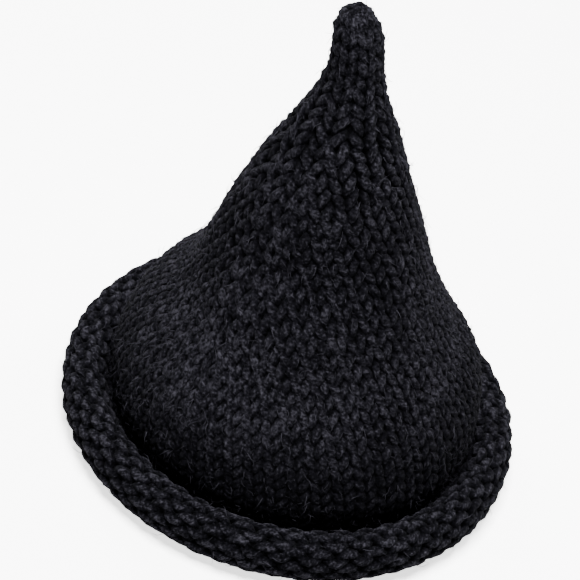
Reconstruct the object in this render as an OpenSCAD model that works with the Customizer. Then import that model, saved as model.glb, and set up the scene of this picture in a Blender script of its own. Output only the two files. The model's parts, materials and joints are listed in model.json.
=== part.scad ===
// Chunky knitted witch hat: a stockinette dome with a naturally rolled brim,
// a tall soft peak that leans to one side, and a small drawn-up tip.
// The hat is worked in the round. Its fabric is one closed shell here, split
// where it flexes: the peak turns on the dome and the tip turns on the peak,
// each on a spherical seam, so that the fabric stays closed as it bends.
// Origin: centre of the head opening, on the surface that the brim rests on.

/* [Fabric] */
// Thickness of the knitted fabric
wall_t = 8.5; // [7:0.5:9]
// Diameter of the chunky yarn
yarn_d = 5.0; // [4:0.5:5]
// Clearance at the two flexing seams
seam_gap = 0.4; // [0.3:0.1:0.6]

/* [Brim] */
// Outer radius of the rolled brim
brim_r = 124.5; // [122:0.5:130]
// Width of the roll
roll_w = 25; // [24:0.5:27]
// Height of the roll
roll_h = 28; // [27:0.5:31]
// Where the roll stops, in degrees round its own centre
roll_end = 165; // [150:1:168]

/* [Crown] */
// Outer radius of the dome where it meets the brim
foot_r = 95.75; // [94:0.25:97]
// Height at which the brim becomes the dome
foot_z = 12; // [12:0.5:16]
// Outer radius of the dome at its widest
dome_r = 100; // [98:0.5:102]
// Height up to which the crown is worked even, before it narrows
band_top_z = 60; // [58:1:62]
// Outer radius of the waist between dome and peak
waist_r = 64; // [62:0.5:66]
// Height of the waist
waist_z = 110; // [108:1:112]

/* [Peak] */
// Outer radius of the neck under the tip
neck_r = 16; // [15:0.5:17]
// Height of the neck, along the peak
neck_z = 228; // [226:1:230]
// Lean of the peak at rest, from the waist up, in degrees
peak_lean_rest = 5.6; // [0:0.1:8]
// Height of the point that the peak turns about, along the peak
peak_pivot_z = 130; // [126:1:132]

/* [Tip] */
// Outer radius of the tip at its middle
tip_r = 13.4; // [12.5:0.1:14.5]
// Height of the hat, along the peak
tip_z = 275; // [270:1:280]
// Further lean of the tip at rest, in degrees
tip_lean_rest = 1; // [0:0.1:6]
// Height of the point that the tip turns about, along the peak
tip_pivot_z = 240; // [239:1:242]

/* [Care label] */
// Width of the label
label_w = 30; // [20:1:36]
// Height of the folded label
label_h = 24; // [16:1:30]
// Height of the label's sewn edge
label_top_z = 52; // [44:1:56]

/* [Hidden] */
$fn = 96;

yarn_black = [0.035, 0.034, 0.040];
label_white = [0.80, 0.79, 0.76];
thread_grey = [0.25, 0.25, 0.27];

// Outline of the whole hat: [height, outer radius] stations from foot to tip.
outline = [
    [foot_z, foot_r], [33, dome_r], [band_top_z, 0.946 * dome_r], [75, 0.86 * dome_r],
    [88, 0.76 * dome_r], [waist_z, waist_r], [150, 0.77 * waist_r],
    [195, 0.48 * waist_r], [neck_z, neck_r], [249, tip_r], [262, 0.81 * tip_r],
    [tip_z - 5, 0.5 * tip_r]];
outline_steps = 5;          // points between two stations

roll_c = [brim_r - roll_w / 2, roll_h / 2];     // centre of the roll
roll_core_w = roll_w / 2 - wall_t;              // half width of the open core
roll_core_h = roll_h / 2 - wall_t;              // half height of the open core
roll_points = 32;                               // points along the roll's arc
turn_c = [foot_r + 2, foot_z - 2];              // centre of the turn at the foot
turn_in = turn_c[0] - foot_r;                   // radius of the turn's hollow side

waist_seam_r = 63.2;        // radius of the seam sphere at the waist
neck_seam_r = 19;           // radius of the seam sphere at the neck

core_r = tip_r - wall_t;    // radius of the narrow hollow inside the tip
core_top_z = 262;           // height at which that hollow is drawn shut

tail_angle = 30;            // arc of the woven-in yarn end
tail_from = 98;             // where it starts, from +X
tail_z = 24;                // its height on the inside of the dome

label_t = 0.7;              // thickness of the label's tape
label_fold = 2.4;           // thickness of the folded label
label_y = 86.6;             // distance of its outer face from the hat's axis
stitch_count = 7;
stitch_d = 0.8;
stitch_l = 2.6;

// Smooth curve through the outline's stations (Catmull-Rom in the height).
function slope(i) =
    let(a = outline[max(i - 1, 0)], b = outline[min(i + 1, len(outline) - 1)])
    (b[1] - a[1]) / (b[0] - a[0]);
function outline_point(i, t) =
    let(a = outline[i], b = outline[i + 1], h = b[0] - a[0],
        t2 = t * t, t3 = t2 * t)
    [(2 * t3 - 3 * t2 + 1) * a[1] + (t3 - 2 * t2 + t) * h * slope(i)
     + (3 * t2 - 2 * t3) * b[1] + (t3 - t2) * h * slope(i + 1),
     a[0] + h * t];
function outer_curve(first, last) = concat(
    [for (i = [first : last - 1], k = [0 : outline_steps - 1])
        outline_point(i, k / outline_steps)],
    [outline_point(last - 1, 1)]);

// The same curve moved inwards by the fabric's thickness.
function unit(v) = v / norm(v);
function inner_curve(points) =
    let(n = len(points) - 1)
    [for (i = [0 : n])
        let(d = unit(points[min(i + 1, n)] - points[max(i - 1, 0)]))
        points[i] + wall_t * [-d[1], d[0]]];
function reversed(v) = [for (i = [len(v) - 1 : -1 : 0]) v[i]];
function level_foot(points) =
    [for (i = [0 : len(points) - 1]) i == 0 ? [points[0][0], foot_z] : points[i]];
function ellipse_arc(c, rx, rz, a0, a1, n) =
    [for (i = [0 : n]) let(a = a0 + (a1 - a0) * i / n)
        [c[0] + rx * cos(a), c[1] + rz * sin(a)]];

// Places a piece of the peak, or of the tip, as it leans at rest.
module lean_peak() {
    translate([0, 0, waist_z]) rotate([0, -peak_lean_rest, 0])
        translate([0, 0, -waist_z]) children();
}
module lean_tip() {
    lean_peak() translate([0, 0, tip_pivot_z]) rotate([0, -tip_lean_rest, 0])
        translate([0, 0, -tip_pivot_z]) children();
}
module disc_at(z, r) {
    translate([0, z]) circle(r);
}

// The fabric turns outwards at the foot and rolls up with its purl side out.
module brim_roll() {
    color(yarn_black) rotate_extrude()
        polygon(concat(
            [[foot_r - wall_t, foot_z]],
            ellipse_arc(turn_c, turn_in + wall_t, turn_c[1], 180, 270, 8),
            ellipse_arc(roll_c, roll_w / 2, roll_h / 2, -90, roll_end, roll_points),
            reversed(ellipse_arc(roll_c, roll_core_w, roll_core_h, -90, roll_end,
                                 roll_points)),
            reversed(ellipse_arc(turn_c, turn_in, turn_c[1] - wall_t, 180, 270, 4)),
            [[foot_r, foot_z]]));
}

// Thick first round of stitches along the free edge, tucked inside the roll.
module cast_on_edge() {
    mid_x = roll_c[0] + (roll_w / 2 + roll_core_w) / 2 * cos(roll_end);
    mid_z = roll_c[1] + (roll_h / 2 + roll_core_h) / 2 * sin(roll_end);
    color(yarn_black) rotate_extrude()
        difference() {
            translate([mid_x, mid_z]) circle(wall_t / 2 - 0.5);
            polygon(concat([roll_c], ellipse_arc(roll_c, 2 * roll_w, 2 * roll_h,
                                                 roll_end, 0, 4)));
        }
}

// The cast-on's yarn end, woven in on the inside of the dome.
module cast_on_tail() {
    color(yarn_black) rotate([0, 0, tail_from]) rotate_extrude(angle = tail_angle)
        translate([foot_r - wall_t - 1, tail_z]) circle(yarn_d / 2);
}

// Section of the crown's fabric, from the brim to above the waist.
module crown_section() {
    curve = outer_curve(0, 6);
    polygon(concat(curve, reversed(level_foot(inner_curve(curve)))));
}

// Lower crown, worked even, which sits round the head.
module crown_band() {
    color(yarn_black) rotate_extrude()
        intersection() {
            crown_section();
            square([brim_r, band_top_z]);
        }
}

// Upper crown, narrowed over the top of the head as far as the waist.
module crown_shoulder() {
    color(yarn_black) difference() {
        rotate_extrude()
            difference() {
                crown_section();
                square([brim_r, band_top_z]);
            }
        lean_peak() translate([0, 0, peak_pivot_z]) {
            sphere(waist_seam_r);
            cylinder(h = 60, r = waist_r);
        }
    }
}

// Blank folded label, sewn in at the back of the head opening.
module care_label() {
    color(label_white) translate([0, label_y, label_top_z - label_h])
        rotate([90, 0, 90]) translate([0, 0, -label_w / 2])
        linear_extrude(label_w)
        difference() {
            union() {
                translate([-label_fold, label_fold / 2])
                    square([label_fold, label_h - label_fold / 2]);
                translate([-label_fold / 2, label_fold / 2]) circle(label_fold / 2);
            }
            union() {
                translate([label_t - label_fold, label_fold / 2])
                    square([label_fold - 2 * label_t, label_h - 3.5 - label_fold / 2]);
                translate([-label_fold / 2, label_fold / 2])
                    circle(label_fold / 2 - label_t);
            }
        }
}

// Row of thread stitches across the label's sewn edge.
module label_stitches() {
    pitch = (label_w - 4) / (stitch_count - 1);
    color(thread_grey)
        for (i = [0 : stitch_count - 1])
            translate([-label_w / 2 + 2 + i * pitch,
                       label_y - label_fold - stitch_d / 2, label_top_z - 2])
                rotate([0, 90, 0])
                    cylinder(h = stitch_l, d = stitch_d, center = true, $fn = 24);
}

// Soft tall peak, from the waist to the neck.
module peak_cone() {
    curve = outer_curve(4, 9);
    color(yarn_black) lean_peak() rotate_extrude()
        difference() {
            intersection() {
                polygon(concat(curve, reversed(inner_curve(curve))));
                union() {
                    disc_at(peak_pivot_z, waist_seam_r - seam_gap);
                    translate([0, peak_pivot_z]) square([waist_r, 120]);
                }
            }
            disc_at(tip_pivot_z, neck_seam_r);
            translate([0, tip_pivot_z]) square([waist_r, 60]);
        }
}

// Small thick-walled tip.
module tip_knob() {
    curve = outer_curve(7, 11);
    top = curve[len(curve) - 1];
    color(yarn_black) lean_tip() rotate_extrude()
        difference() {
            intersection() {
                polygon(concat([[0, curve[0][1]]], curve, [[0, top[1]]]));
                union() {
                    disc_at(tip_pivot_z, neck_seam_r - seam_gap);
                    translate([0, tip_pivot_z]) square([waist_r, 60]);
                }
            }
            square([core_r, core_top_z]);
        }
}

// The last round of stitches, drawn up tight into a nub.
module tip_gather() {
    color(yarn_black) lean_tip() translate([0, 0, tip_z - 5])
        rotate_extrude()
            intersection() {
                union() {
                    translate([2.6, 1.4]) circle(2.9);
                    square([2.6, 4.3]);
                    square([4.5, 2]);
                }
                square([10, 5]);
            }
}

// The closing yarn's end, taken down inside the tip.
module closing_tail() {
    color(yarn_black) lean_tip() translate([0, 0, tip_pivot_z - 8])
        cylinder(h = core_top_z - tip_pivot_z + 8, d = yarn_d, $fn = 48);
}

brim_roll();
cast_on_edge();
cast_on_tail();
crown_band();
crown_shoulder();
care_label();
label_stitches();
peak_cone();
tip_knob();
tip_gather();
closing_tail();
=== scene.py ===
"""Looks of the chunky knitted witch hat, laid out as a Blender add-on and run as a script."""

import json
import math

import bpy
import numpy as np
from mathutils import Matrix, Vector
from mathutils.bvhtree import BVHTree


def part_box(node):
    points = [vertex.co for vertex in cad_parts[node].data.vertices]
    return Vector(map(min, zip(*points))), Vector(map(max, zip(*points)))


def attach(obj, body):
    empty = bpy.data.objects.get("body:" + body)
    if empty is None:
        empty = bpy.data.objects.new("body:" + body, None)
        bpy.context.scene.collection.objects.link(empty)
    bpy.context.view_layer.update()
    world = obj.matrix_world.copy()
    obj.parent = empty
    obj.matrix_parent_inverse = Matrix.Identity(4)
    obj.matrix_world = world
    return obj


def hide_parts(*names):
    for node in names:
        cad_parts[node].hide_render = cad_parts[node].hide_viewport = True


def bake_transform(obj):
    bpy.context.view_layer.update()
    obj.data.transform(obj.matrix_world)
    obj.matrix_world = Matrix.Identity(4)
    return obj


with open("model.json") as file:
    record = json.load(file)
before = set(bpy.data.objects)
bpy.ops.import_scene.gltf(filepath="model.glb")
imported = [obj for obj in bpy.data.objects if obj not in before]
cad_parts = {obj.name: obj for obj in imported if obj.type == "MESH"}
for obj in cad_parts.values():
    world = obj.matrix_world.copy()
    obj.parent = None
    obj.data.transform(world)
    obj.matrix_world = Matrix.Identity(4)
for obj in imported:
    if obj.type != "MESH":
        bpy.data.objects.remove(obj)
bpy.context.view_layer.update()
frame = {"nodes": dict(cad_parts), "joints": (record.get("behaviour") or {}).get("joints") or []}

bl_info = {
    "name": "Chunky Knitted Witch Hat",
    "version": (1, 0, 0),
    "blender": (4, 5, 0),
    "location": "View3D > Sidebar > Witch Hat",
    "description": "Knits a rolled-brim witch hat stitch by stitch round its CAD frame",
    "category": "Object",
}

BRIM_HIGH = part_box("brim_roll")[1]
LABEL_LOW, LABEL_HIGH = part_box("care_label")
TIP_JOINT = {j["name"]: j["pos_m"][2] for j in frame["joints"]}["tip_flop"]
FULL_TURN = 2 * math.pi


# ---------------------------------------------------------------- sizes and colours


class HatShape(bpy.types.PropertyGroup):
    """Sizes of the fabric, where the frame doesn't give them."""

    wall: bpy.props.FloatProperty(
        name="Fabric thickness", description="Thickness of the knitted fabric",
        default=0.0085, subtype="DISTANCE")
    roll_width: bpy.props.FloatProperty(
        name="Roll width", description="Width of the rolled brim's section",
        default=0.025, subtype="DISTANCE")
    roll_end: bpy.props.FloatProperty(
        name="Roll end", description="Where the roll stops, round its own centre",
        default=math.radians(165), subtype="ANGLE")
    waist: bpy.props.FloatProperty(
        name="Waist height", description="Height at which the peak's lean begins",
        default=0.110, subtype="DISTANCE")
    lean: bpy.props.FloatProperty(
        name="Peak lean", description="Lean of the peak to the left",
        default=math.radians(5.6), subtype="ANGLE")
    tip_lean: bpy.props.FloatProperty(
        name="Tip lean", description="Further lean of the tip",
        default=math.radians(1.0), subtype="ANGLE")
    sway: bpy.props.FloatProperty(
        name="Waist sway", description="How far the soft fabric sways over above the waist",
        default=0.0045, subtype="DISTANCE")
    tip_sway: bpy.props.FloatProperty(
        name="Tip sway", description="How far the end of the tip flops over",
        default=0.0030, subtype="DISTANCE")
    fold: bpy.props.FloatProperty(
        name="Fold depth", description="Depth of the soft fold where the peak slumps forward",
        default=0.0050, subtype="DISTANCE")
    fold_turn: bpy.props.FloatProperty(
        name="Fold turn", description="Turn at which that fold is deepest",
        default=math.radians(-97), subtype="ANGLE")
    swell: bpy.props.FloatProperty(
        name="Peak swell", description="How far the peak's fabric stands proud of the frame",
        default=0.0011, subtype="DISTANCE")


class HatKnit(bpy.types.PropertyGroup):
    """Gauge of the knitting and thickness of the yarn."""

    yarn: bpy.props.FloatProperty(
        name="Yarn diameter", description="Diameter of the chunky yarn",
        default=0.0058, subtype="DISTANCE")
    stitch: bpy.props.FloatProperty(
        name="Stitch width", description="Width that a stitch is kept close to",
        default=0.0124, subtype="DISTANCE")
    round_height: bpy.props.FloatProperty(
        name="Round height", description="Distance between two rounds of the crown",
        default=0.0074, subtype="DISTANCE")
    brim_round: bpy.props.FloatProperty(
        name="Brim round height", description="Distance between two rounds of the brim",
        default=0.0064, subtype="DISTANCE")
    stitches: bpy.props.IntProperty(
        name="Stitches", description="Stitches in a round of the brim and the crown",
        default=52)
    tip_stitches: bpy.props.IntProperty(
        name="Tip stitches", description="Stitches left in the last rounds", default=8)
    narrowing: bpy.props.FloatProperty(
        name="Narrowing line", description="Turn at which stitches are worked together",
        default=math.radians(-127), subtype="ANGLE")
    tilt: bpy.props.FloatProperty(
        name="Tilt", description="Tilt of the crown's rounds towards the narrowing line",
        default=math.radians(8), subtype="ANGLE")
    unevenness: bpy.props.FloatProperty(
        name="Unevenness", description="How far hand-made stitches stray from even ones",
        default=0.0004, subtype="DISTANCE")
    seed: bpy.props.IntProperty(
        name="Seed", description="Seed of that unevenness", default=7)
    fibres: bpy.props.IntProperty(
        name="Loose fibres", description="Loose fibres that stand out of each stitch",
        default=8)
    fibre: bpy.props.FloatProperty(
        name="Fibre length", description="Length of the longest loose fibres",
        default=0.0075, subtype="DISTANCE")


class HatColours(bpy.types.PropertyGroup):
    """Colours of the yarn, the label and the stage."""

    yarn: bpy.props.FloatVectorProperty(
        name="Yarn", description="Colour of the yarn", subtype="COLOR",
        size=3, default=(0.00145, 0.00139, 0.0019))
    # Painted shade: the colour the yarn is painted deep between the yarns, where shade falls.
    gap: bpy.props.FloatVectorProperty(
        name="Between yarns", description="Colour deep between the yarns", subtype="COLOR",
        size=3, default=(0.0003, 0.00029, 0.0004))
    # Lightest colour of the yarn: partly the wool's own lighter fibres in the streaks, and
    # partly painted highlight on the crests and the loose fibres.
    light_fibre_and_highlight: bpy.props.FloatVectorProperty(
        name="Light fibres", description="Colour of the lightest fibres", subtype="COLOR",
        size=3, default=(0.0100, 0.0096, 0.0122))
    label: bpy.props.FloatVectorProperty(
        name="Label", description="Colour of the label's tape", subtype="COLOR",
        size=3, default=(0.62, 0.61, 0.58))
    thread: bpy.props.FloatVectorProperty(
        name="Thread", description="Colour of the sewing thread", subtype="COLOR",
        size=3, default=(0.03, 0.03, 0.033))
    floor: bpy.props.FloatVectorProperty(
        name="Floor", description="Colour of the floor", subtype="COLOR",
        size=3, default=(0.62, 0.62, 0.62))


def shape():
    return bpy.context.scene.hat_shape


def knit():
    return bpy.context.scene.hat_knit


def colours():
    return bpy.context.scene.hat_colours


# ---------------------------------------------------------------- the fabric's surface


def smoothstep(low, high, x):
    t = np.clip((x - low) / (high - low), 0, 1)
    return t * t * (3 - 2 * t)


def around(angle):
    """Cosine and sine of angles, side by side."""
    return np.stack([np.cos(angle), np.sin(angle)], 1)


def wrap(angle):
    """The same angle between minus and plus half a turn."""
    return (angle + math.pi) % FULL_TURN - math.pi


class Fabric:
    """The hat's fabric: a surface of revolution round a leaning, swaying axis.

    along runs over the fabric from the cast-on edge, round the roll and up to the tip,
    turn is the angle round the hat, and depth goes from the middle of the fabric to
    its knit side, which faces outwards on the crown and inwards in the roll."""

    STEP = 0.0005               # between two points of the fabric's section
    WAIST_BEND = 0.03           # half the height over which the peak's lean comes in
    TIP_BEND = 0.015
    SWAY_IN = (-0.028, 0.016)   # from the waist
    SWAY_OUT = (0.035, -0.005)  # from the waist, and from the tip's joint
    TIP_SWAY = (0.010, 0.036)   # from the tip's joint
    OUTSIDE = 0.3               # a place beyond the hat, where a ray starts
    READ_AT = (0.022, 0.033, 0.046, 0.060, 0.075, 0.088, 0.100, 0.112, 0.130, 0.150, 0.172,
               0.195, 0.212, 0.226, 0.238, 0.249, 0.257, 0.263, 0.267)
    CAP_RISE = 0.0035           # of the closed end over the last height in READ_AT
    CAP_RINGS = (0.75, 0.45, 0.15)
    FOOT_RISE = 0.012           # from the lowest point inside the roll to the crown's start
    TILT_IN = (-0.005, 0.070)   # from the crown's start, where the rounds' tilt comes in
    DENTS = ((0.0011, 3, 18, 0.6), (0.0008, 5, -31, 2.1), (0.0006, 2, 57, 4.0))
    FOLD_WIDTH = 0.8            # in radians, to each side of the fold's turn

    def __init__(self):
        self.heights = np.linspace(0, 0.4, 801)
        waist, tip = shape().waist, TIP_JOINT
        lean = (smoothstep(waist - self.WAIST_BEND, waist + self.WAIST_BEND, self.heights)
                * shape().lean)
        lean = lean + (smoothstep(tip - self.TIP_BEND, tip + self.TIP_BEND, self.heights)
                       * shape().tip_lean)
        step = self.heights[1]
        self.lean = lean
        sway = (smoothstep(waist + self.SWAY_IN[0], waist + self.SWAY_IN[1], self.heights)
                - smoothstep(waist + self.SWAY_OUT[0], tip + self.SWAY_OUT[1], self.heights))
        flop = smoothstep(tip + self.TIP_SWAY[0], tip + self.TIP_SWAY[1], self.heights)
        self.axis_x = (-np.cumsum(np.sin(lean)) * step - shape().sway * sway
                       - shape().tip_sway * flop)
        self.axis_z = np.cumsum(np.cos(lean)) * step - step
        self.cad = [self.tree(n) for n in ("crown_band", "crown_shoulder", "peak_cone",
                                           "tip_knob")]
        self.build_path()

    @staticmethod
    def tree(node):
        """A CAD node's faces, for rays."""
        mesh = frame["nodes"][node].data
        return BVHTree.FromPolygons([v.co.copy() for v in mesh.vertices],
                                    [tuple(p.vertices) for p in mesh.polygons])

    def axis(self, height):
        """Centre of the leaning axis at a height along it, and the lean there."""
        return (np.interp(height, self.heights, self.axis_x),
                np.interp(height, self.heights, self.axis_z),
                np.interp(height, self.heights, self.lean))

    def cad_radius(self, height):
        """Outer radius of the CAD fabric at a height along the leaning axis."""
        x, z, _ = self.axis(height)
        start = Vector((x, self.OUTSIDE, z))
        hits = [t.ray_cast(start, Vector((0, -1, 0)))[0] for t in self.cad]
        return max(h.y for h in hits if h is not None)

    def build_path(self):
        """The middle of the fabric as radii and heights: the roll, the turn at the crown's
        foot, the crown and peak inside the CAD's outer face, and the closed end."""
        wall, width = shape().wall, shape().roll_width
        centre = np.array([BRIM_HIGH.x - width / 2, BRIM_HIGH.z / 2])
        half = np.array([width / 2, BRIM_HIGH.z / 2]) - wall / 2
        roll = centre + half * around(np.linspace(shape().roll_end, -math.pi / 2, 60))
        foot_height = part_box("crown_band")[0].z
        just_above = 0.0002
        outer = np.array([[self.cad_radius(h + just_above), h]
                          for h in (foot_height, *self.READ_AT)])
        foot = outer[0, 0] - wall / 2
        turn = foot_height - wall / 2
        foot_turn = np.array([foot + turn, foot_height]) + turn * around(
            np.linspace(-math.pi / 2, -math.pi, 14))
        dense = self.dense(outer, 2 * self.STEP)
        away = np.gradient(dense, axis=0)
        away /= np.linalg.norm(away, axis=1)[:, None]
        crown = dense + wall / 2 * np.stack([-away[:, 1], away[:, 0]], 1)
        crown = crown[crown[:, 1] > foot_height + 4 * self.STEP]
        self.cap_height = self.READ_AT[-1] + self.CAP_RISE
        fall = self.cap_height - crown[-1, 1]
        cap = np.array([[crown[-1, 0] * q, self.cap_height - fall * q ** 3]
                        for q in self.CAP_RINGS])
        path = np.concatenate([roll, foot_turn, crown, cap])
        path = self.path = self.dense(path, self.STEP, smooth=6)
        step = np.linalg.norm(np.diff(path, axis=0), axis=1)
        self.along = np.concatenate([[0], np.cumsum(step)])
        self.length = self.along[-1]
        t = np.gradient(path, axis=0)
        t /= np.linalg.norm(t, axis=1)[:, None]
        self.normal = np.stack([t[:, 1], -t[:, 0]], 1)
        half_roll = 0.06
        inner = np.argmax(path[:, 1] == path[:, 1][self.along > half_roll].min())
        self.start = float(self.along[inner] + self.FOOT_RISE)

    @staticmethod
    def dense(points, step, smooth=0):
        """The polyline through points, resampled evenly and then evened out."""
        for _ in range(2):
            seg = np.linalg.norm(np.diff(points, axis=0), axis=1)
            at = np.concatenate([[0], np.cumsum(seg)])
            slope = np.gradient(points, at, axis=0)
            new = np.linspace(0, at[-1], max(int(at[-1] / step), 2))
            i = np.clip(np.searchsorted(at, new, side="right") - 1, 0, len(seg) - 1)
            h = seg[i][:, None]
            t = ((new - at[i]) / seg[i])[:, None]
            points = ((2 * t ** 3 - 3 * t ** 2 + 1) * points[i]
                      + (t ** 3 - 2 * t ** 2 + t) * h * slope[i]
                      + (3 * t ** 2 - 2 * t ** 3) * points[i + 1]
                      + (t ** 3 - t ** 2) * h * slope[i + 1])
            for _ in range(smooth):
                points[1:-1] = (points[:-2] + 2 * points[1:-1] + points[2:]) / 4
        return points

    def radius(self, along):
        return np.interp(along, self.along, self.path[:, 0])

    def height(self, along):
        return np.interp(along, self.along, self.path[:, 1])

    def brim_share(self, along):
        """1 in the brim and 0 in the crown, with an even change between them."""
        return 1 - float(smoothstep(self.start - 0.02, self.start + 0.01, along))

    def inside(self, along):
        """The same place, kept off the very ends of the fabric."""
        return np.clip(along, 0, self.length - 0.0004)

    def at_height(self, height):
        """How far along the fabric the crown reaches a height."""
        crown = self.along > self.start
        return float(np.interp(height, self.path[crown, 1], self.along[crown]))

    def place(self, along, turn, depth):
        """Points in the row frame for places on the fabric."""
        along = along - (math.tan(knit().tilt) * self.radius(along)
                         * np.cos(turn - knit().narrowing)
                         * smoothstep(self.start + self.TILT_IN[0],
                                      self.start + self.TILT_IN[1], along))
        along = self.inside(along)
        nr = np.interp(along, self.along, self.normal[:, 0])
        nz = np.interp(along, self.along, self.normal[:, 1])
        r = self.radius(along) + depth * nr
        z = self.height(along) + depth * nz
        r, z = self.relax(r, z, turn)
        x0, z0, lean = self.axis(z)
        across = r * np.cos(turn)
        return np.stack([x0 + across * np.cos(lean), r * np.sin(turn),
                         z0 + across * np.sin(lean)], -1)

    def relax(self, r, z, turn):
        """Slow dents of handled fabric, the fold at the waist, and the peak's swell."""
        waist, tip = shape().waist, TIP_JOINT
        dents = sum(depth * np.sin(round_hat * turn + up_hat * z + phase)
                    for depth, round_hat, up_hat, phase in self.DENTS)
        r = r + dents * smoothstep(0.03, 0.09, z) * smoothstep(0.0, 0.05, r)
        peak = smoothstep(waist - 0.01, waist + 0.015, z) - smoothstep(tip - 0.01, tip, z)
        end = 1.5 * smoothstep(tip + 0.010, tip + 0.024, z)
        front = np.exp(-(wrap(turn - shape().fold_turn) / self.FOLD_WIDTH) ** 2)
        slump = (0.6 * np.exp(-((z - waist + 0.002) / 0.016) ** 2)
                 - np.exp(-((z - waist - 0.027) / 0.014) ** 2))
        r = r + shape().fold * front * slump
        return r + shape().swell * (peak + end) * smoothstep(0.0, 0.007, r), z


# ---------------------------------------------------------------- the stitches


class Rounds:
    """Every round of stitches: its place along the fabric and the turn of each stitch."""

    FIRST = 0.55            # height of the first round's middle, in rounds
    LAST = 0.0015           # least length of fabric above the last round
    TIGHTEST = 0.80         # a stitch narrower than this, in stitches, narrows the round
    SPREAD = 0.618          # sends each second pair of stitches to a new place
    EVENNESS = 1.6          # pull of a stitch's neighbours in its round, against 1 of others
    EASE = 0.7              # share of its way that a stitch goes in a pass
    PASSES = 160

    def __init__(self, fabric):
        self.fabric = fabric
        k = knit()
        self.at, self.count = [], []
        along = k.brim_round * self.FIRST
        count = k.stitches
        while along < fabric.length - self.LAST:
            width = FULL_TURN * float(fabric.radius(along)) / count
            tight = width < self.TIGHTEST * k.stitch
            if along > fabric.start and tight and count > k.tip_stitches:
                count -= 2
            self.at.append(along)
            self.count.append(count)
            brim = fabric.brim_share(along)
            along += k.round_height + (k.brim_round - k.round_height) * brim
        self.at = np.array(self.at)
        self.links()
        self.settle()

    def links(self):
        """child[j][i] is the stitch of round j+1 that stitch i of round j goes into.

        A round that narrows has two pairs of stitches worked together: at the narrowing
        line, where the round's first stitch starts, and on every other such round at a
        new place on each side of the hat."""
        self.child = []
        narrowed = 0
        for n, after in zip(self.count, self.count[1:]):
            child = np.arange(n)
            if after < n:
                narrowed += 1
                at = 0
                if narrowed % 2 == 0:
                    at = int(n / 2 * ((0.3 + self.SPREAD * narrowed) % 1 * 0.8 + 0.1))
                child = child - (child > at) - (child > n - 2 - at)
            self.child.append(child)

    def settle(self):
        """Spaces the stitches of each round evenly, in line with the rounds below and above."""
        self.turn = [knit().narrowing + FULL_TURN * (np.arange(n) + 0.5) / n
                     for n in self.count]
        parents = []
        for j, n in enumerate(self.count):
            if j == 0:
                parents.append(None)
                continue
            parents.append([np.nonzero(self.child[j - 1] == i)[0] for i in range(n)])
        for _ in range(self.PASSES):
            for j in range(len(self.count)):
                t = self.turn[j]
                beside = (np.roll(t, 1) + np.roll(t, -1)) / 2
                beside[0] -= FULL_TURN / 2
                beside[-1] += FULL_TURN / 2
                wants = beside * self.EVENNESS
                weight = self.EVENNESS
                if j + 1 < len(self.count):
                    above = self.turn[j + 1][self.child[j]]
                    wants = wants + t + wrap(above - t)
                    weight += 1
                if j > 0:
                    below = np.array([t[i] + np.mean(wrap(self.turn[j - 1][p] - t[i]))
                                      for i, p in enumerate(parents[j])])
                    wants = wants + below
                    weight += 1
                self.turn[j] = t + self.EASE * (wants / weight - t)


RINGS = 16              # rings of yarn to a stitch
SIDES = 8               # sides of the yarn
REACH = 0.95            # how far a loop reaches into the rounds beside it, in rounds
BRIM_REACH = -0.10      # what the brim adds to that
BOW = 0.245             # how far a loop's legs bow out, in stitches
BRIM_BOW = -0.03        # what the brim adds to that
TWIN_SHIFT = 0.22       # how far two stitches worked together keep apart, in stitches
TWIN_DEPTH = 0.0009     # and how far one lies over the other
THINNEST = 0.78         # share of its thickness that the yarn of a narrow stitch keeps
OVERLAP = 0.0004        # how far the loops stand out of the fabric's faces
SQUEEZE = 0.05          # how much thinner the yarn is where it lies deep
LUMPS = 0.025           # how uneven the yarn's own thickness is


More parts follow.
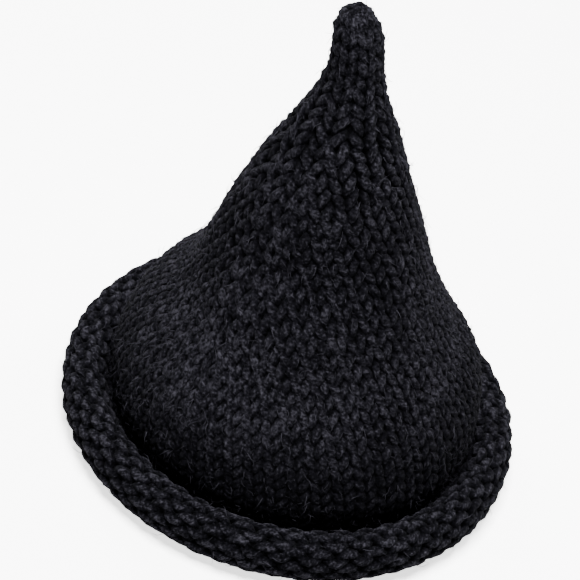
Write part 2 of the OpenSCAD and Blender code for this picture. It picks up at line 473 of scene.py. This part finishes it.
def round_of_loops(rounds, j, rng):
    """Centre line of round j: (points, ways out of the fabric, thickness, depth).

    One stitch runs from the sinker loop on its left, up its left leg, over its head and
    down its right leg. The legs lie on the knit side, sinkers and heads on the purl side."""
    k, fabric = knit(), rounds.fabric
    n = rounds.count[j]
    centre = rounds.turn[j]
    width = FULL_TURN / n
    before = rounds.at[j] - (rounds.at[j - 1] if j else rounds.at[0] - k.brim_round)
    last = j + 1 == len(rounds.count)
    after = before * 0.6 if last else rounds.at[j + 1] - rounds.at[j]
    left = centre - wrap(centre - np.roll(centre, 1)) / 2
    right = centre + wrap(np.roll(centre, -1) - centre) / 2
    head = centre.copy()
    side = np.zeros(n)
    if not last:
        child = rounds.child[j]
        head = centre + wrap(rounds.turn[j + 1][child] - centre)
        twin = (child == np.roll(child, -1)) * -1.0 + (child == np.roll(child, 1)) * 1.0
        side = twin if n != rounds.count[j + 1] else side
        head = head + side * TWIN_SHIFT * width
    brim = fabric.brim_share(rounds.at[j])
    reach = REACH + BRIM_REACH * brim
    t = np.arange(RINGS) / RINGS * FULL_TURN

    def loose(scale):
        return rng.normal(0, scale, n)[:, None]

    up = (-np.cos(t))[None, :]
    bow = BOW + BRIM_BOW * brim
    spread = bow * np.sin(2 * t)[None, :] * (right - left)[:, None]
    first = t[None, :] < math.pi
    base = np.where(first, left[:, None] + (head - left)[:, None] * t / math.pi,
                    head[:, None] + (right - head)[:, None] * (t / math.pi - 1))
    middle = np.sin(t / 2)[None, :] ** 2
    r = max(float(fabric.radius(rounds.at[j])), 0.004)
    turn = base + spread + middle * loose(k.unevenness / r)
    along = rounds.at[j] + np.where(up > 0, up * after, up * before) * reach
    along = along + middle * loose(k.unevenness)
    yarn = k.yarn * (THINNEST + (1 - THINNEST) * min(1.0, width * r / k.stitch))
    half = (shape().wall - yarn) / 2 + OVERLAP
    depth = -half * np.cos(2 * t)[None, :]
    depth = depth + middle * (loose(k.unevenness * 0.6) + side[:, None] * TWIN_DEPTH)
    thick = yarn / 2 * (1 - SQUEEZE * np.cos(2 * t)[None, :]) * (1 + loose(LUMPS))
    along = fabric.inside(along)
    along, turn, depth, thick = (np.broadcast_to(a, (n, RINGS)).reshape(-1)
                                 for a in (along, turn, depth, thick))
    points = fabric.place(along, turn, depth)
    outer = fabric.place(along, turn, depth + 0.001)
    return points, outer - points, thick, depth


def tube(points, outward, thick, closed=True):
    """A yarn along points, as (vertices, quads, map along and round it).

    Ring 0's first vertex faces outward, so the yarn's map never slips."""
    n = len(points)
    if closed:
        tangent = np.roll(points, -1, 0) - np.roll(points, 1, 0)
    else:
        tangent = np.gradient(points, axis=0)
    tangent /= np.linalg.norm(tangent, axis=1)[:, None]
    across = np.cross(tangent, outward)
    across /= np.linalg.norm(across, axis=1)[:, None]
    face = np.cross(across, tangent)
    a = np.arange(SIDES) / SIDES * FULL_TURN
    ring = (face[:, None, :] * np.cos(a)[None, :, None]
            + across[:, None, :] * np.sin(a)[None, :, None])
    verts = points[:, None, :] + ring * np.broadcast_to(thick, n)[:, None, None]
    length = np.linalg.norm(np.roll(points, -1, 0) - points, axis=1)
    start = np.concatenate([[0], np.cumsum(length)])
    rows = n if closed else n - 1
    i, s = np.meshgrid(np.arange(rows), np.arange(SIDES), indexing="ij")
    i2, s2 = (i + 1) % n, (s + 1) % SIDES
    quads = np.stack([i * SIDES + s, i * SIDES + s2, i2 * SIDES + s2, i2 * SIDES + s], -1)
    u = np.stack([start[i], start[i], start[i + 1], start[i + 1]], -1)
    v = np.stack([s, s + 1, s + 1, s], -1) / SIDES
    return verts.reshape(-1, 3), quads.reshape(-1, 4), np.stack([u, v], -1).reshape(-1, 2)


END_RINGS = 4           # rings in each rounded end of a yarn


def strand(points, outward, radius):
    """A yarn with two rounded ends: (vertices, quads, map, triangles that close the ends)."""
    points = np.asarray(points, float)
    outward = np.broadcast_to(outward, points.shape)
    turn = np.linspace(0, math.pi / 2, END_RINGS + 1)[:-1]
    first = points[0] - points[1]
    first /= np.linalg.norm(first)
    last = points[-1] - points[-2]
    last /= np.linalg.norm(last)
    ahead = points[0] + radius * np.cos(turn)[:, None] * first
    behind = points[-1] + radius * np.cos(turn[::-1])[:, None] * last
    body = points[1:-1]
    path = np.concatenate([ahead, body, behind])
    outs = np.concatenate([outward[:1].repeat(END_RINGS, 0), outward[1:-1],
                           outward[-1:].repeat(END_RINGS, 0)])
    least = 0.05                # keeps the end rings from closing to a point
    small = np.maximum(np.sin(turn), least)
    thick = radius * np.concatenate([small, np.ones(len(body)), small[::-1]])
    verts, quads, mapped = tube(path, outs, thick, closed=False)
    ring = np.arange(SIDES)
    caps = [ring[::-1], len(verts) - SIDES + ring]
    tris = np.concatenate([[(c[0], c[k], c[k + 1]) for k in range(1, SIDES - 1)]
                           for c in caps])
    return verts, quads, mapped, tris


FIBRE_RINGS = 3
FIBRE_SIDES = 3
FIBRE_RADIUS = 0.00021
FIBRE_TAPER = 0.75          # share of its radius that a fibre loses by its end
FIBRE_ARCH = 2.4            # how far round an arch a fibre bends, in radians
FIBRES_OUT = 0.8            # share of the fibres that point out of the knit side
FIBRE_ROOT = 0.90           # where a fibre leaves the yarn, in radii of the yarn


def loose_fibres(points, outward, thick, rng):
    """Short tapered fibres that stand out of a round of loops, on both its faces."""
    count = len(points) // RINGS * knit().fibres
    at = rng.integers(0, len(points), count)
    tangent = np.roll(points, -1, 0) - np.roll(points, 1, 0)
    tangent /= np.linalg.norm(tangent, axis=1)[:, None]
    out = outward / np.linalg.norm(outward, axis=1)[:, None]
    out, along = out[at], tangent[at] * rng.choice([-1, 1], count)[:, None]
    side = np.cross(out, along)
    angle = rng.normal(0, 0.8, count)
    away = np.cos(angle)[:, None] * out + np.sin(angle)[:, None] * side
    away *= np.where(rng.random(count) < FIBRES_OUT, 1, -1)[:, None]
    across = np.cross(away, along)
    length = knit().fibre * rng.uniform(0.35, 1, count)[:, None]
    lift = rng.uniform(0.06, 0.30, count)[:, None]
    sweep = rng.normal(0, 0.35, count)[:, None]
    root = points[at] + away * (thick[at] * FIBRE_ROOT)[:, None]
    verts = []
    for i in range(FIBRE_RINGS):
        t = i / (FIBRE_RINGS - 1)
        middle = root + length * (along * t + away * lift * math.sin(FIBRE_ARCH * t)
                                  + across * sweep * t * t)
        size = FIBRE_RADIUS * (1 - FIBRE_TAPER * t)
        for k in range(FIBRE_SIDES):
            a = k / FIBRE_SIDES * FULL_TURN
            verts.append(middle + size * (math.cos(a) * away + math.sin(a) * across))
    verts = np.stack(verts, 1)
    per = FIBRE_RINGS * FIBRE_SIDES
    quads = np.array([(i + k, i + (k + 1) % FIBRE_SIDES,
                       i + FIBRE_SIDES + (k + 1) % FIBRE_SIDES, i + FIBRE_SIDES + k)
                      for i in range(0, per - FIBRE_SIDES, FIBRE_SIDES)
                      for k in range(FIBRE_SIDES)])
    tris = np.array([(2, 1, 0), (per - 3, per - 2, per - 1)])
    shift = (np.arange(count) * per)[:, None, None]
    quads = (quads[None] + shift).reshape(-1, 4)
    tris = (tris[None] + shift).reshape(-1, 3)
    u = np.repeat(rng.uniform(0, 5, count), len(quads) // count * 4)
    mapped = np.stack([u, np.full(len(u), 0.5)], -1)
    return verts.reshape(-1, 3), quads, mapped, tris


def make_piece(name, parts, material):
    """One mesh object from parts: (vertices, quads, map, triangles, crest).

    crest says how far a point stands out of the fabric, from 0 between the yarns to 1. It sets
    painted shade and painted highlight in the yarn's colour: painted shade deep between the
    yarns, and painted highlight on the crests."""
    count = np.cumsum([0] + [len(p[0]) for p in parts])
    verts = np.concatenate([p[0] for p in parts])
    quads = np.concatenate([p[1] + s for p, s in zip(parts, count)])
    tris = np.concatenate([np.reshape(p[3], (-1, 3)) + s for p, s in zip(parts, count)])
    mapped = np.concatenate([p[2] for p in parts] + [np.zeros((tris.size, 2))])
    crest = np.concatenate([np.broadcast_to(p[4], len(p[0])) for p in parts])
    mesh = bpy.data.meshes.new(name)
    mesh.vertices.add(len(verts))
    mesh.vertices.foreach_set("co", verts.astype(np.float32).ravel())
    loops = np.concatenate([quads.ravel(), tris.ravel()])
    starts = np.concatenate([np.arange(len(quads)) * 4,
                             quads.size + np.arange(len(tris)) * 3])
    mesh.loops.add(len(loops))
    mesh.loops.foreach_set("vertex_index", loops.astype(np.int32))
    mesh.polygons.add(len(starts))
    mesh.polygons.foreach_set("loop_start", starts.astype(np.int32))
    mesh.uv_layers.new(name="yarn").data.foreach_set("uv", mapped.astype(np.float32).ravel())
    mesh.attributes.new("crest", "FLOAT", "POINT").data.foreach_set(
        "value", crest.astype(np.float32))
    mesh.update(calc_edges=True)
    mesh.validate()
    mesh.shade_smooth()
    piece = bpy.data.objects.new(name, mesh)
    bpy.context.scene.collection.objects.link(piece)
    piece.data.materials.append(material)
    return piece


# ---------------------------------------------------------------- shader maths


class Shade:
    """A socket that takes part in Python expressions; each adds a Math node."""

    def __init__(self, tree, socket):
        self.tree, self.socket = tree, socket

    def maths(self, operation, *values):
        return node(self.tree, "ShaderNodeMath", {"operation": operation}, (self, *values))

    def both(self):
        """The first two outputs of this socket's node."""
        outputs = self.socket.node.outputs
        return Shade(self.tree, outputs[0]), Shade(self.tree, outputs[1])

    def __add__(self, other):
        return self.maths("ADD", other)

    def __sub__(self, other):
        return self.maths("SUBTRACT", other)

    def __mul__(self, other):
        return self.maths("MULTIPLY", other)


def node(tree, kind, settings=None, values=(), output=0):
    """One node: its settings first, then the values or links of its sockets."""
    made = tree.nodes.new(kind)
    for key, value in (settings or {}).items():
        if key == "stops":
            ramp = made.color_ramp
            while len(ramp.elements) < len(value):
                ramp.elements.new(0.5)
            for element, (at, colour) in zip(ramp.elements, value):
                element.position, element.color = at, (*colour, 1)
        else:
            setattr(made, key, value)
    items = values.items() if isinstance(values, dict) else enumerate(values)
    for key, value in items:
        if isinstance(value, Shade):
            tree.links.new(value.socket, made.inputs[key])
        elif value is not None:
            made.inputs[key].default_value = value
    return Shade(tree, made.outputs[output])


def new_material(name, **fixed):
    """A material whose Principled shader holds the fixed values, and its node tree."""
    material = bpy.data.materials.new(name)
    material.use_nodes = True
    tree = material.node_tree
    shader = tree.nodes["Principled BSDF"]
    for socket, value in fixed.items():
        shader.inputs[socket.replace("_", " ")].default_value = value
    return material, tree, shader


TWISTS = 75.0           # turns of the yarn's plies in a metre
PLIES = 3
FIBRES_ALONG = 260.0    # scale of the fibres' streaks along the yarn, and round it
FIBRES_ROUND = 7.0


def yarn_material():
    """Matt plied wool: twisted plies, streaks of lighter fibre, painted shade between the yarns
    and painted highlight on their crests and loose fibres.
    """
    found = bpy.data.materials.get("plied_wool")
    if found:
        return found
    c = colours()
    material, tree, shader = new_material(
        "plied_wool", Roughness=0.95, Sheen_Weight=0.003, Sheen_Roughness=0.45,
        Sheen_Tint=(0.78, 0.80, 0.90, 1), Specular_IOR_Level=0.004)
    uv = node(tree, "ShaderNodeUVMap", {"uv_map": "yarn"})
    u, v = node(tree, "ShaderNodeSeparateXYZ", values=(uv,)).both()
    twist = u * TWISTS + v
    plies = (twist * (PLIES * FULL_TURN)).maths("SINE")
    lengthwise = node(tree, "ShaderNodeCombineXYZ",
                      values=(u * FIBRES_ALONG, twist * FIBRES_ROUND, v * 2.0))
    fibres = node(tree, "ShaderNodeTexNoise", {"noise_dimensions": "3D"},
                  {"Vector": lengthwise, "Scale": 2.0, "Detail": 4.0, "Roughness": 0.7})
    place = node(tree, "ShaderNodeTexCoord", output=3)
    patches = node(tree, "ShaderNodeTexNoise", {},
                   {"Vector": place, "Scale": 110.0, "Detail": 2.0})
    specks = node(tree, "ShaderNodeTexNoise", {},
                  {"Vector": place, "Scale": 700.0, "Detail": 2.0, "Roughness": 0.6})
    crest = node(tree, "ShaderNodeAttribute", {"attribute_name": "crest"}, output=2)
    # Base colour: the noises give the wool's own streaks, specks and patches, and crest adds
    # painted shade between the yarns and painted highlight on the crests and loose fibres.
    shade = fibres * 1.2 + specks * 1.4 + patches * 0.4 + crest * 0.65 - 1.44
    light = node(tree, "ShaderNodeValToRGB",
                 {"stops": [(0.25, (*c.gap,)), (0.60, (*c.yarn,)), (1.0, (*c.light_fibre_and_highlight,))]},
                 {"Fac": shade})
    tree.links.new(light.socket, shader.inputs["Base Color"])
    height = plies * 0.45 + fibres * 1.3 + specks * 0.9
    bump = node(tree, "ShaderNodeBump", {}, {"Strength": 0.9, "Distance": 0.0008,
                                             "Height": height})
    tree.links.new(bump.socket, shader.inputs["Normal"])
    return material


def tape_material():
    """Satin label tape: fine lengthwise threads with a slight gloss."""
    c = colours()
    material, tree, shader = new_material(
        "satin_tape", Roughness=0.42, Sheen_Weight=0.3, Sheen_Roughness=0.4)
    place = node(tree, "ShaderNodeTexCoord", output=3)
    threads = node(tree, "ShaderNodeTexWave", {"bands_direction": "X"},
                   {"Vector": place, "Scale": 900.0, "Distortion": 0.4, "Detail": 2.0})
    light = tuple(min(1.0, x * 1.12) for x in c.label)
    colour = node(tree, "ShaderNodeValToRGB", {"stops": [(0.2, (*c.label,)), (0.9, light)]},
                  {"Fac": threads})
    tree.links.new(colour.socket, shader.inputs["Base Color"])
    bump = node(tree, "ShaderNodeBump", {}, {"Strength": 0.4, "Distance": 0.0001,
                                             "Height": threads})
    tree.links.new(bump.socket, shader.inputs["Normal"])
    return material


def thread_material():
    """Twisted sewing thread."""
    c = colours()
    material, tree, shader = new_material("sewing_thread", Roughness=0.6, Sheen_Weight=0.3)
    uv = node(tree, "ShaderNodeUVMap", {"uv_map": "yarn"})
    wave = node(tree, "ShaderNodeTexWave", {"bands_direction": "DIAGONAL"},
                {"Vector": uv, "Scale": 4.0})
    dark = tuple(x * 0.6 for x in c.thread)
    colour = node(tree, "ShaderNodeValToRGB", {"stops": [(0.2, dark), (0.9, (*c.thread,))]},
                  {"Fac": wave})
    tree.links.new(colour.socket, shader.inputs["Base Color"])
    return material


# ---------------------------------------------------------------- pieces

BAND_TOP = 0.060            # heights where one piece of the fabric ends and the next starts
SHOULDER_TOP = 0.088
PEAK_TOP = 0.190
_made = {}


def fabric_and_rounds():
    """The fabric and its rounds, which all the pieces share."""
    if not _made:
        _made["fabric"] = Fabric()
        _made["rounds"] = Rounds(_made["fabric"])
    return _made["fabric"], _made["rounds"]


FLATTENED = 0.0012          # height below which yarn is pressed flat on the floor


def rest_on_floor(verts):
    """Yarn that would sink below the floor is flattened on it."""
    z = verts[:, 2]
    pressed = FLATTENED * np.exp((z - FLATTENED) / (2 * FLATTENED))
    verts[:, 2] = np.where(z < FLATTENED, pressed, z)
    return verts


def round_tone(along):
    """How much lighter a round's yarn is made. It stands in for shading: the brim is made
    a little lighter, and the low crown darker."""
    fabric, _ = fabric_and_rounds()
    places = [fabric.start - 0.012, fabric.start + 0.006, fabric.at_height(0.045),
              fabric.at_height(0.080), fabric.at_height(0.120), fabric.at_height(0.140),
              fabric.at_height(0.200), fabric.length]
    return float(np.interp(along, places, (0.09, -0.24, -0.25, 0.04, 0.0, -0.08, 0.0, 0.03)))


def knitted(name, first, last):
    """The rounds from first up to last as one piece, with their loose fibres."""
    _, rounds = fabric_and_rounds()
    surface = (shape().wall + 0.0012) / 2
    parts = []
    for j in range(first, last):
        rng = np.random.default_rng(knit().seed * 1000 + j)
        points, outward, thick, depth = round_of_loops(rounds, j, rng)
        verts, quads, mapped = tube(points, outward, thick)
        # Painted shade and painted highlight: the deeper a point of the yarn lies in the fabric,
        # the darker it is painted. round_tone adds painted shade on the low crown and painted
        # light on the brim.
        lift = np.cos(np.arange(SIDES) / SIDES * FULL_TURN)
        out = np.abs(depth[:, None] + thick[:, None] * lift) / surface
        crest = smoothstep(0.35, 1.0, out).reshape(-1) + round_tone(rounds.at[j])
        parts.append((rest_on_floor(verts), quads, mapped, (), crest))
        verts, quads, mapped, tris = loose_fibres(points, outward, thick, rng)
        # Painted highlight: the loose fibres are painted lighter than the yarn, up to its
        # lightest colour.
        light = rng.uniform(0.8, 2.8, len(tris) // 2).repeat(FIBRE_RINGS * FIBRE_SIDES)
        parts.append((rest_on_floor(verts), quads, mapped, tris, light))
    piece = make_piece(name, parts, yarn_material())
    return piece


def yarn_piece(name, parts, body, replaced):
    """A piece of yarn that moves with a body and replaces a CAD node."""
    piece = make_piece(name, parts, yarn_material())
    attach(piece, body)
    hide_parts(replaced)


def foot_round():
    """The first round of the crown, where the brim's last one ends."""
    fabric, rounds = fabric_and_rounds()
    return int(np.searchsorted(rounds.at, fabric.start - 0.006))


def round_above(height):
    """The first round of the crown that is above a height."""
    fabric, rounds = fabric_and_rounds()
    return int(np.searchsorted(rounds.at, fabric.at_height(height)))


class HAT_OT_brim(bpy.types.Operator):
    """Knit the rolled brim, purl side out"""

    bl_idname = "hat.brim"
    bl_label = "Rolled Brim"

    def execute(self, context):
        piece = knitted("brim_knit", 0, foot_round())
        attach(piece, "crown")
        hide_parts("brim_roll")
        return {"FINISHED"}


class HAT_OT_crown(bpy.types.Operator):
    """Knit the crown round the head and over the shoulder"""

    bl_idname = "hat.crown"
    bl_label = "Crown"

    def execute(self, context):
        band, shoulder = round_above(BAND_TOP), round_above(SHOULDER_TOP)
        for name, first, last, node_name in (
                ("crown_band_knit", foot_round(), band, "crown_band"),
                ("crown_shoulder_knit", band, shoulder, "crown_shoulder")):
            piece = knitted(name, first, last)
            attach(piece, "crown")
            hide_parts(node_name)
        return {"FINISHED"}


class HAT_OT_peak(bpy.types.Operator):
    """Knit the peak, which bends over the waist and the neck"""

    bl_idname = "hat.peak"
    bl_label = "Peak and Tip"

    def execute(self, context):
        _, rounds = fabric_and_rounds()
        start, split = round_above(SHOULDER_TOP), round_above(PEAK_TOP)
        lower = knitted("peak_knit", start, split)
        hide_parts("peak_cone")
        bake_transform(lower)
        upper = knitted("tip_knit", split, len(rounds.count))
        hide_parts("tip_knob")
        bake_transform(upper)
        return {"FINISHED"}


CAST_ON_RADIUS = 0.0021     # of each of the two yarns that wind round each other
CAST_ON_WIND = 0.0020       # how far they are from the middle of the edge
CAST_ON_AT = 0.0016         # where that middle is, from the fabric's edge
TAIL_FROM = math.radians(98)        # where the woven-in yarn end starts, from +X
TAIL_SWEEP = math.radians(30)
TAIL_AT = 0.08625           # how far it is from the hat's middle
TAIL_RADIUS = 0.0023
TAIL_WAVE = (0.0005, 0.0012)        # how far it weaves out and up


class HAT_OT_cast_on(bpy.types.Operator):
    """Make the cast-on edge inside the roll and its yarn end, woven in at the back"""

    bl_idname = "hat.cast_on"
    bl_label = "Cast-on Edge and Yarn End"

    def execute(self, context):
        fabric, rounds = fabric_and_rounds()
        twists = rounds.count[0]
        turn = np.linspace(0, FULL_TURN, twists * RINGS // 2, endpoint=False)
        parts = []
        for half in (0, math.pi):
            wind = turn * twists / 2 + half
            along = CAST_ON_AT + CAST_ON_WIND * np.cos(wind)
            depth = CAST_ON_WIND * np.sin(wind)
            points = fabric.place(along, turn, depth)
            outward = fabric.place(along, turn, depth + 0.001) - points
            verts, quads, mapped = tube(points, outward, CAST_ON_RADIUS)
            parts.append((verts, quads, mapped, (), 0.6))
        yarn_piece("cast_on_edge_yarn", parts, "crown", "cast_on_edge")

        low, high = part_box("cast_on_tail")
        turn = np.linspace(TAIL_FROM, TAIL_FROM + TAIL_SWEEP, 60)
        stitch = FULL_TURN / knit().stitches
        wave = FULL_TURN * (turn - TAIL_FROM) / stitch
        r = TAIL_AT + TAIL_WAVE[0] * np.cos(wave)
        points = np.stack([r * np.cos(turn), r * np.sin(turn),
                           (low.z + high.z) / 2 + TAIL_WAVE[1] * np.sin(wave)], -1)
        inwards = np.stack([-np.cos(turn), -np.sin(turn), 0 * turn], -1)
        tail = (*strand(points, inwards, TAIL_RADIUS), 0.8)
        yarn_piece("cast_on_tail_yarn", [tail], "crown", "cast_on_tail")
        return {"FINISHED"}


KNOT_SIZE = 0.00125         # a third of the knot's radius
KNOT_YARN = 0.0020          # radius of the yarn in it
KNOT_TILT = 0.3             # how much further the knot tilts than the fabric's axis
END_WIND = 180              # radians to a metre in which the last yarn end winds
END_SWAY = 0.0004
END_RADIUS = 0.0022


class HAT_OT_closing(bpy.types.Operator):
    """Draw the last stitches up in a knot and take the yarn's end down inside"""

    bl_idname = "hat.closing"
    bl_label = "Closing Knot and Yarn End"

    def execute(self, context):
        fabric, _ = fabric_and_rounds()
        t = np.linspace(0, FULL_TURN, 120, endpoint=False)
        swing = 2 + np.cos(3 * t)
        knot = KNOT_SIZE * np.stack([swing * np.cos(2 * t), swing * np.sin(2 * t),
                                     1.15 * np.sin(3 * t)], -1)
        x, z, lean = fabric.axis(fabric.cap_height)
        turned = Matrix.Rotation(-lean - KNOT_TILT, 3, "Y")
        knot = knot @ np.array(turned).T + np.array([x - 0.0008, 0, z + 0.0008])
        outward = knot - np.array([x, 0, z - 0.004])
        gather = (*tube(knot, outward, KNOT_YARN), (), 0.75)
        yarn_piece("closing_knot", [gather], "tip", "tip_gather")

        low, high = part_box("closing_tail")
        h = np.linspace(low.z + 0.001, high.z - 0.001, 40)
        wind = (h - low.z) * END_WIND
        x, z, _ = fabric.axis(h)
        points = np.stack([x + END_SWAY * np.cos(wind), END_SWAY * np.sin(wind), z], -1)
        tail = (*strand(points, (1, 0, 0), END_RADIUS), 0.8)
        yarn_piece("closing_tail_yarn", [tail], "tip", "closing_tail")
        return {"FINISHED"}


LABEL_CELLS = (14, 60)      # across the tape and along it
LABEL_FOLD = 0.0010         # radius of the label's fold
LABEL_THICK = 0.0003
LABEL_STITCHES = 7
THREAD_RADIUS = 0.00036


def label_front(x, z):
    """How far back the folded label's front face is, at a place on it."""
    top, bottom = LABEL_HIGH.z, LABEL_LOW.z
    down = np.clip((top - z) / (top - bottom), 0, 1)
    bulge = 0.0019 * smoothstep(0.08, 0.8, down)
    return LABEL_HIGH.y - 0.0007 - bulge - x * x / (2 * LABEL_HIGH.y)


class HAT_OT_label(bpy.types.Operator):
    """Fold the blank tape label and sew it in at the back"""

    bl_idname = "hat.label"
    bl_label = "Label and Stitches"

    def execute(self, context):
        bpy.ops.object.select_all(action="DESELECT")
        across, along = LABEL_CELLS
        bpy.ops.mesh.primitive_grid_add(x_subdivisions=across, y_subdivisions=along, size=1)
        label = context.active_object
        label.name = label.data.name = "folded_label"
        width = LABEL_HIGH.x - LABEL_LOW.x
        drop = LABEL_HIGH.z - LABEL_LOW.z
        fold = LABEL_FOLD
        leg = drop - fold
        length = 2 * leg + math.pi * fold
        for vertex in label.data.vertices:
            x = vertex.co.x * width
            s = (vertex.co.y + 0.5) * length
            if s < leg:
                z = LABEL_HIGH.z - s
                y = label_front(x, z) + 0.0002
            elif s > length - leg:
                z = LABEL_HIGH.z - (length - s)
                y = label_front(x, z) + 0.0004 + 2 * fold * 0.8 * smoothstep(
                    0.05, 0.7, (LABEL_HIGH.z - z) / drop)
            else:
                a = (s - leg) / fold
                z = LABEL_LOW.z + fold - fold * math.sin(a)
                y = label_front(x, z) + 0.0003 + 0.8 * fold * (1 - math.cos(a))
            y += 0.00025 * math.sin(210 * x + 1.0) * (LABEL_HIGH.z - z) / drop
            vertex.co = (x, y, z)
        solid = label.modifiers.new("thickness", "SOLIDIFY")
        solid.thickness, solid.offset = LABEL_THICK, 0
        bpy.ops.object.modifier_apply(modifier=solid.name)
        label.data.shade_smooth()
        label.data.materials.append(tape_material())
        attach(label, "crown")
        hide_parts("care_label")

        low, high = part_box("label_stitches")
        x = np.linspace(low.x, high.x, LABEL_STITCHES * 12 + 1)
        done = (x - low.x) / (high.x - low.x)
        wave = np.cos(FULL_TURN * done * LABEL_STITCHES + math.pi)
        z = np.full(len(x), (low.z + high.z) / 2)
        y = label_front(x, z) - 0.0001 - 0.0006 * wave
        points = np.stack([x, y, z], -1)
        stitching = (*strand(points, (0, -1, 0), THREAD_RADIUS), 1.0)
        thread = make_piece("label_thread", [stitching], thread_material())
        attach(thread, "crown")
        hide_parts("label_stitches")
        return {"FINISHED"}


# ---------------------------------------------------------------- stage

FLOOR_GLOW = 2.0            # the floor shines a little, as a lit studio table does
WORLD_GLOW = 0.15
SOFTBOXES = (               # name, place, size and power
    ("key", (-0.05, -0.22, 1.7), 0.8, 340),
    ("rim_left", (-1.0, 1.5, 0.9), 0.7, 75),
    ("rim_right", (1.1, 1.5, 0.8), 0.7, 80),
)


class HAT_OT_stage(bpy.types.Operator):
    """Set the floor, the soft lights and the camera"""

    bl_idname = "hat.stage"
    bl_label = "Stage"

    def execute(self, context):
        bpy.ops.mesh.primitive_plane_add(size=12, location=(0, 0, 0))
        floor = context.active_object
        floor.name = "floor"
        material, _, _ = new_material(
            "floor_paint", Roughness=0.9, Base_Color=(*colours().floor, 1),
            Emission_Color=(1, 1, 1, 1), Emission_Strength=FLOOR_GLOW)
        floor.data.materials.append(material)
        world = bpy.data.worlds.new("studio")
        context.scene.world = world
        world.use_nodes = True
        world.node_tree.nodes["Background"].inputs[0].default_value = (1, 1, 1, 1)
        world.node_tree.nodes["Background"].inputs[1].default_value = WORLD_GLOW
        for lamp in SOFTBOXES:
            add_softbox(*lamp)
        add_camera()
        return {"FINISHED"}


def add_softbox(name, place, size, power):
    """A square area light that faces the hat."""
    light = bpy.data.lights.new(name, "AREA")
    light.size, light.energy = size, power
    lamp = bpy.data.objects.new(name, light)
    lamp.location = place
    to_hat = Vector((0, 0, 0.1)) - Vector(place)
    lamp.rotation_euler = to_hat.to_track_quat("-Z", "Y").to_euler()
    bpy.context.scene.collection.objects.link(lamp)


CAMERA_ELEVATION = math.radians(43)
CAMERA_ROLL = math.radians(15.07)
CAMERA_DISTANCE = 1.4       # from the centre of the head opening
CAMERA_LENS = 158.7
CAMERA_AIM = Vector((-0.0154, 0, 0.0908))


def add_camera():
    """The camera looks down on the hat from the front, and is rolled."""
    camera = bpy.data.objects.new("camera", bpy.data.cameras.new("camera"))
    camera.data.lens = CAMERA_LENS
    camera.location = (0, -CAMERA_DISTANCE * math.cos(CAMERA_ELEVATION),
                       CAMERA_DISTANCE * math.sin(CAMERA_ELEVATION))
    looks = (CAMERA_AIM - camera.location).to_track_quat("-Z", "Y").to_matrix().to_4x4()
    rolled = looks @ Matrix.Rotation(CAMERA_ROLL, 4, "Z")
    camera.rotation_euler = rolled.to_euler()
    bpy.context.scene.collection.objects.link(camera)
    bpy.context.scene.camera = camera


# ---------------------------------------------------------------- add-on


class HAT_PT_panel(bpy.types.Panel):
    """Lists the hat's pieces"""

    bl_label = "Witch Hat"
    bl_idname = "HAT_PT_panel"
    bl_space_type = "VIEW_3D"
    bl_region_type = "UI"
    bl_category = "Witch Hat"

    def draw(self, context):
        for operator in OPERATORS:
            self.layout.operator(operator.bl_idname)


GROUPS = {"hat_shape": HatShape, "hat_knit": HatKnit, "hat_colours": HatColours}
OPERATORS = (HAT_OT_stage, HAT_OT_brim, HAT_OT_crown, HAT_OT_peak, HAT_OT_cast_on,
             HAT_OT_closing, HAT_OT_label)


def register():
    for cls in (*GROUPS.values(), *OPERATORS, HAT_PT_panel):
        bpy.utils.register_class(cls)
    for name, group in GROUPS.items():
        setattr(bpy.types.Scene, name, bpy.props.PointerProperty(type=group))


def unregister():
    for name in GROUPS:
        delattr(bpy.types.Scene, name)
    for cls in (HAT_PT_panel, *reversed(OPERATORS), *GROUPS.values()):
        bpy.utils.unregister_class(cls)


def main():
    register()
    for operator in OPERATORS:
        group, name = operator.bl_idname.split(".")
        getattr(getattr(bpy.ops, group), name)()


if __name__ == "__main__":
    main()
